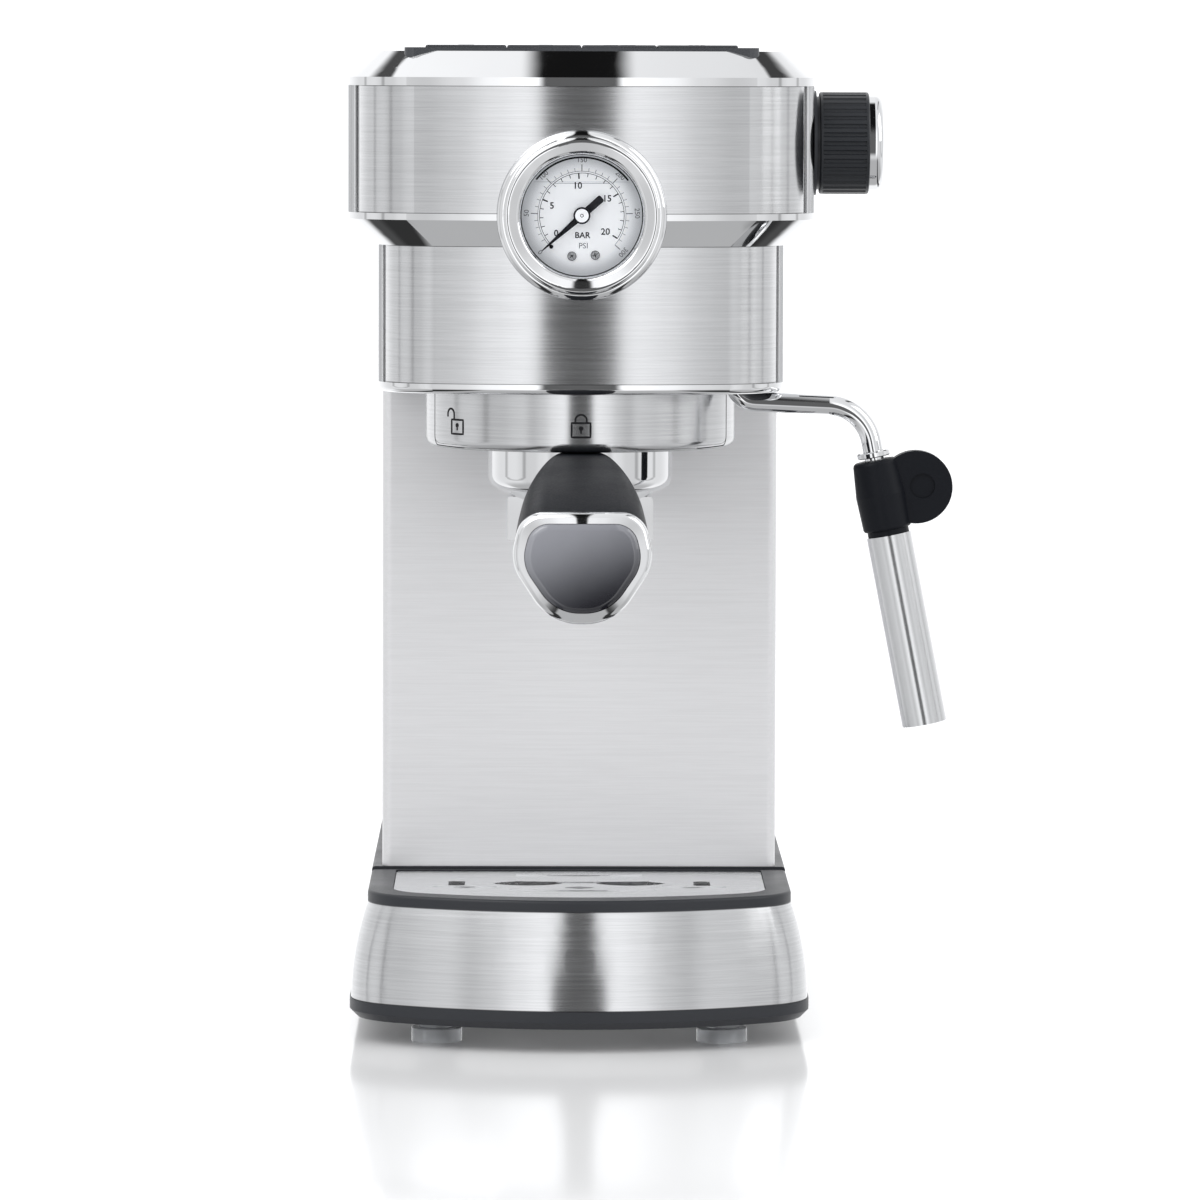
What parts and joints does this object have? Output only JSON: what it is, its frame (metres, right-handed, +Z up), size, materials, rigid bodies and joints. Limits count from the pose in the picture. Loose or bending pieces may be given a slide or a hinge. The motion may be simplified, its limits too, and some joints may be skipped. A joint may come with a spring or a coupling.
{
  "type": "espresso machine",
  "caption": "Slim pump espresso machine with round pressure gauge, portafilter, swivelling steam wand, pull-out drip tray and rear water tank.",
  "frame": {"origin": "centre of the whole machine's bounding box at the table", "axes": "+X to the machine's right seen from the front, +Y to the back, +Z up"},
  "size_m": [0.1878, 0.3702, 0.31],
  "materials": {
    "brushed_steel": "horizontally brushed stainless steel",
    "side_steel": "brushed stainless steel side sheets",
    "chrome": "polished chrome",
    "black_plastic": "fine matt black moulding",
    "soft_black": "satin soft-touch black",
    "gloss_black": "high gloss black",
    "deck_grey": "dark grey satin plastic",
    "foot_pad": "translucent grey elastomer",
    "fastener": "zinc plated",
    "gauge_can": "plain drawn steel",
    "dial_white": "white enamel with printed scale",
    "needle_black": "matt black",
    "lens_clear": "clear lens",
    "brass": "machined brass",
    "cast_alloy": "as cast",
    "bright_steel": "bright pressed steel",
    "seal_rubber": "black rubber",
    "tank_clear": "smoked clear plastic",
    "circuit": "green laminate"
  },
  "bodies": {
    "machine": {"base_shell": "brushed_steel", "column_front_panel": "brushed_steel", "upper_front_band": "brushed_steel", "lower_front_band": "brushed_steel", "group_skirt": "brushed_steel", "cup_warmer": "brushed_steel", "side_panel_left": "side_steel", "side_panel_right": "side_steel", "upper_side_left": "side_steel", "upper_side_right": "side_steel", "top_ring": "chrome", "mid_ring": "chrome", "bottom_trim": "chrome", "gauge_boss": "chrome", "gauge_bezel": "chrome", "base_plate": "black_plastic", "base_deck": "black_plastic", "chassis": "black_plastic", "rear_cover": "black_plastic", "head_floor": "black_plastic", "knob_collar": "black_plastic", "cord_gland": "black_plastic", "pump": "black_plastic", "top_deck": "deck_grey", "feet": "foot_pad", "foot_screws": "fastener", "gauge_case": "gauge_can", "gauge_dial": "dial_white", "gauge_lens": "lens_clear", "gauge_movement": "brass", "steam_valve": "brass", "wand_nut": "brass", "group_ring": "cast_alloy", "thermoblock": "cast_alloy", "shower_screen": "bright_steel", "group_gasket": "seal_rubber", "hoses": "seal_rubber", "switch_board": "circuit"},
    "tray": {"drip_tray": "black_plastic", "drip_tray_skin": "brushed_steel"},
    "grate": {"drip_grate": "brushed_steel"},
    "power_key": {"button_power": "deck_grey"},
    "one_cup_key": {"button_one_cup": "deck_grey"},
    "two_cups_key": {"button_two_cups": "deck_grey"},
    "steam_key": {"button_steam": "deck_grey"},
    "needle": {"gauge_needle": "needle_black"},
    "knob": {"steam_knob": "black_plastic", "steam_knob_cap": "chrome"},
    "wand": {"wand_tube": "chrome", "wand_grip": "soft_black", "froth_nozzle": "soft_black"},
    "sleeve": {"froth_sleeve": "brushed_steel"},
    "portafilter": {"portafilter_bowl": "chrome", "filter_basket": "bright_steel", "portafilter_spout": "chrome", "portafilter_handle": "soft_black", "handle_ring": "chrome", "handle_cap": "gloss_black"},
    "tank": {"water_tank": "tank_clear"},
    "lid": {"tank_lid": "deck_grey"}
  },
  "joints": [
    {"name": "portafilter_twist", "type": "hinge", "parent": "machine", "child": "portafilter", "pos_m": [-0.0216, -0.0404, 0.19], "axis": [0, 0, 1], "range_deg": [-50, 0]},
    {"name": "steam_knob_turn", "type": "hinge", "parent": "machine", "child": "knob", "pos_m": [0.0534, -0.0489, 0.2797], "axis": [1, 0, 0], "range_deg": [0, 270]},
    {"name": "steam_wand_swivel", "type": "hinge", "parent": "machine", "child": "wand", "pos_m": [0.0259, -0.0649, 0.205], "axis": [0, 0, 1], "range_deg": [-80, 35]},
    {"name": "froth_sleeve_pull", "type": "slide", "parent": "wand", "child": "sleeve", "axis": [0.1908, 0, -0.9816], "range_m": [0, 0.03]},
    {"name": "drip_tray_slide", "type": "slide", "parent": "machine", "child": "tray", "axis": [0, -1, 0], "range_m": [0, 0.12]},
    {"name": "drip_grate_lift", "type": "slide", "parent": "tray", "child": "grate", "axis": [0, 0, 1], "range_m": [0, 0.03]},
    {"name": "power_press", "type": "slide", "parent": "machine", "child": "power_key", "axis": [0, 0, -1], "range_m": [0, 0.0012], "stiffness_N_per_m": 300, "springref_m": -0.001},
    {"name": "one_cup_press", "type": "slide", "parent": "machine", "child": "one_cup_key", "axis": [0, 0, -1], "range_m": [0, 0.0012], "stiffness_N_per_m": 300, "springref_m": -0.001},
    {"name": "two_cups_press", "type": "slide", "parent": "machine", "child": "two_cups_key", "axis": [0, 0, -1], "range_m": [0, 0.0012], "stiffness_N_per_m": 300, "springref_m": -0.001},
    {"name": "steam_press", "type": "slide", "parent": "machine", "child": "steam_key", "axis": [0, 0, -1], "range_m": [0, 0.0012], "stiffness_N_per_m": 300, "springref_m": -0.001},
    {"name": "gauge_needle_sweep", "type": "hinge", "parent": "machine", "child": "needle", "pos_m": [-0.0216, -0.1049, 0.2582], "axis": [0, 1, 0], "range_deg": [0, 254]},
    {"name": "water_tank_lift", "type": "slide", "parent": "machine", "child": "tank", "axis": [0, 0, 1], "range_m": [0, 0.12]},
    {"name": "tank_lid_open", "type": "hinge", "parent": "tank", "child": "lid", "pos_m": [-0.0216, 0.1831, 0.296], "axis": [-1, 0, 0], "range_deg": [0, 100]}
  ]
}
